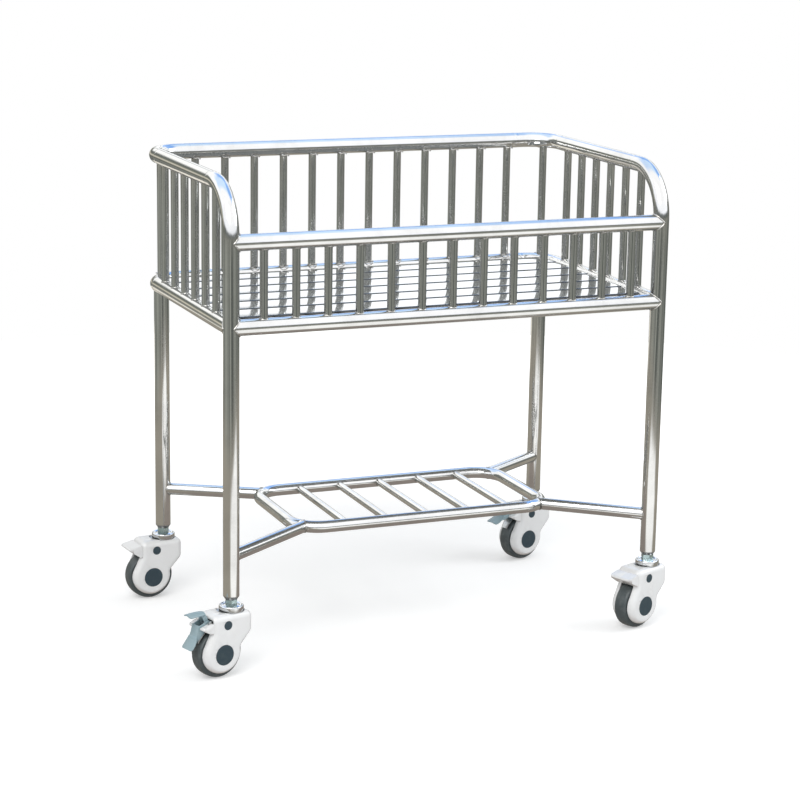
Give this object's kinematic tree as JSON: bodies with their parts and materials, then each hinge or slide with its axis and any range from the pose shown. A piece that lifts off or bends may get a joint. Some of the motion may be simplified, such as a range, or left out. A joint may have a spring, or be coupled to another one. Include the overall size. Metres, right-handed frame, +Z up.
{
  "type": "hospital bassinet",
  "caption": "Stainless steel tube bassinet on swivel casters, with slatted base, barred guards lower at the front, and a small open shelf below.",
  "frame": {"origin": "on the floor, at the middle of the whole part's box in plan", "axes": "+Z up, +X along the length towards the right end, -Y towards the low front guard"},
  "size_m": [1.0543, 0.6102, 0.972],
  "materials": {
    "polished_steel": "polished stainless steel tube",
    "slat_steel": "smooth stainless steel sheet",
    "bush_steel": "turned",
    "zinc_plate": "bright zinc plated",
    "chrome_plate": "polished",
    "hub_plastic": "moulded",
    "tyre_rubber": "smooth grey rubber",
    "cap_plastic": "moulded slate",
    "cover_plastic": "moulded white",
    "pedal_plastic": "moulded blue grey"
  },
  "bodies": {
    "frame": {"front_leg_left": "polished_steel", "rear_leg_left": "polished_steel", "top_elbow_left": "polished_steel", "base_elbow_left": "polished_steel", "front_leg_right": "polished_steel", "rear_leg_right": "polished_steel", "top_elbow_right": "polished_steel", "base_elbow_right": "polished_steel", "end_top_rails": "polished_steel", "end_base_rails": "polished_steel", "rear_top_rail": "polished_steel", "rear_base_rail": "polished_steel", "front_top_rail": "polished_steel", "front_base_rail": "polished_steel", "front_uprights": "polished_steel", "rear_uprights": "polished_steel", "end_uprights_left": "polished_steel", "end_uprights_right": "polished_steel", "base_slats": "slat_steel", "shelf_bars": "polished_steel", "shelf_corners": "polished_steel", "shelf_struts": "polished_steel", "shelf_rods": "polished_steel", "stem_front_left": "zinc_plate", "race_cap_front_left": "chrome_plate", "stem_front_right": "zinc_plate", "race_cap_front_right": "chrome_plate", "stem_rear_left": "zinc_plate", "race_cap_rear_left": "chrome_plate", "stem_rear_right": "zinc_plate", "race_cap_rear_right": "chrome_plate", "leg_bushes": "bush_steel"},
    "caster_front_left": {"fork_front_left": "zinc_plate", "cover_front_left": "cover_plastic", "caps_front_left": "cap_plastic", "axle_front_left": "zinc_plate"},
    "wheel_front_left": {"tyre_front_left": "tyre_rubber", "wheel_hub_front_left": "hub_plastic"},
    "pedal_front_left": {"brake_pedal_front_left": "pedal_plastic"},
    "release_front_left": {"release_lever_front_left": "pedal_plastic"},
    "caster_front_right": {"fork_front_right": "zinc_plate", "cover_front_right": "cover_plastic", "caps_front_right": "cap_plastic", "axle_front_right": "zinc_plate"},
    "wheel_front_right": {"tyre_front_right": "tyre_rubber", "wheel_hub_front_right": "hub_plastic"},
    "caster_rear_left": {"fork_rear_left": "zinc_plate", "cover_rear_left": "cover_plastic", "caps_rear_left": "cap_plastic", "axle_rear_left": "zinc_plate"},
    "wheel_rear_left": {"tyre_rear_left": "tyre_rubber", "wheel_hub_rear_left": "hub_plastic"},
    "caster_rear_right": {"fork_rear_right": "zinc_plate", "cover_rear_right": "cover_plastic", "caps_rear_right": "cap_plastic", "axle_rear_right": "zinc_plate"},
    "wheel_rear_right": {"tyre_rear_right": "tyre_rubber", "wheel_hub_rear_right": "hub_plastic"},
    "pedal_rear_right": {"brake_pedal_rear_right": "pedal_plastic"},
    "release_rear_right": {"release_lever_rear_right": "pedal_plastic"}
  },
  "joints": [
    {"name": "swivel_front_left", "type": "hinge", "parent": "frame", "child": "caster_front_left", "pos_m": [-0.42413, -0.2499, 0.127], "axis": [0, 0, 1], "continuous": true},
    {"name": "roll_front_left", "type": "hinge", "parent": "caster_front_left", "child": "wheel_front_left", "pos_m": [-0.45777, -0.25954, 0.05], "axis": [0.2756, -0.9613, 0], "continuous": true},
    {"name": "brake_front_left", "type": "hinge", "parent": "caster_front_left", "child": "pedal_front_left", "pos_m": [-0.48181, -0.26643, 0.114], "axis": [-0.2756, 0.9613, 0], "range_deg": [0, 30]},
    {"name": "release_turn_front_left", "type": "hinge", "parent": "caster_front_left", "child": "release_front_left", "pos_m": [-0.48181, -0.26643, 0.114], "axis": [-0.2756, 0.9613, 0], "range_deg": [-8, 0]},
    {"name": "swivel_front_right", "type": "hinge", "parent": "frame", "child": "caster_front_right", "pos_m": [0.48987, -0.2499, 0.127], "axis": [0, 0, 1], "continuous": true},
    {"name": "roll_front_right", "type": "hinge", "parent": "caster_front_right", "child": "wheel_front_right", "pos_m": [0.45742, -0.26301, 0.05], "axis": [0.3746, -0.9272, 0], "continuous": true},
    {"name": "swivel_rear_left", "type": "hinge", "parent": "frame", "child": "caster_rear_left", "pos_m": [-0.40656, 0.27053, 0.127], "axis": [0, 0, 1], "continuous": true},
    {"name": "roll_rear_left", "type": "hinge", "parent": "caster_rear_left", "child": "wheel_rear_left", "pos_m": [-0.44137, 0.26687, 0.05], "axis": [0.1045, -0.9945, 0], "continuous": true},
    {"name": "swivel_rear_right", "type": "hinge", "parent": "frame", "child": "caster_rear_right", "pos_m": [0.4723, 0.27053, 0.127], "axis": [0, 0, 1], "continuous": true},
    {"name": "roll_rear_right", "type": "hinge", "parent": "caster_rear_right", "child": "wheel_rear_right", "pos_m": [0.43849, 0.26147, 0.05], "axis": [0.2588, -0.9659, 0], "continuous": true},
    {"name": "brake_rear_right", "type": "hinge", "parent": "caster_rear_right", "child": "pedal_rear_right", "pos_m": [0.41434, 0.255, 0.114], "axis": [-0.2588, 0.9659, 0], "range_deg": [-30, 0]},
    {"name": "release_turn_rear_right", "type": "hinge", "parent": "caster_rear_right", "child": "release_rear_right", "pos_m": [0.41434, 0.255, 0.114], "axis": [-0.2588, 0.9659, 0], "range_deg": [0, 8]}
  ],
  "couplings": [
    {"joint": "release_turn_front_left", "follows": "brake_front_left", "ratio": -0.26667},
    {"joint": "release_turn_rear_right", "follows": "brake_rear_right", "ratio": -0.26667}
  ]
}
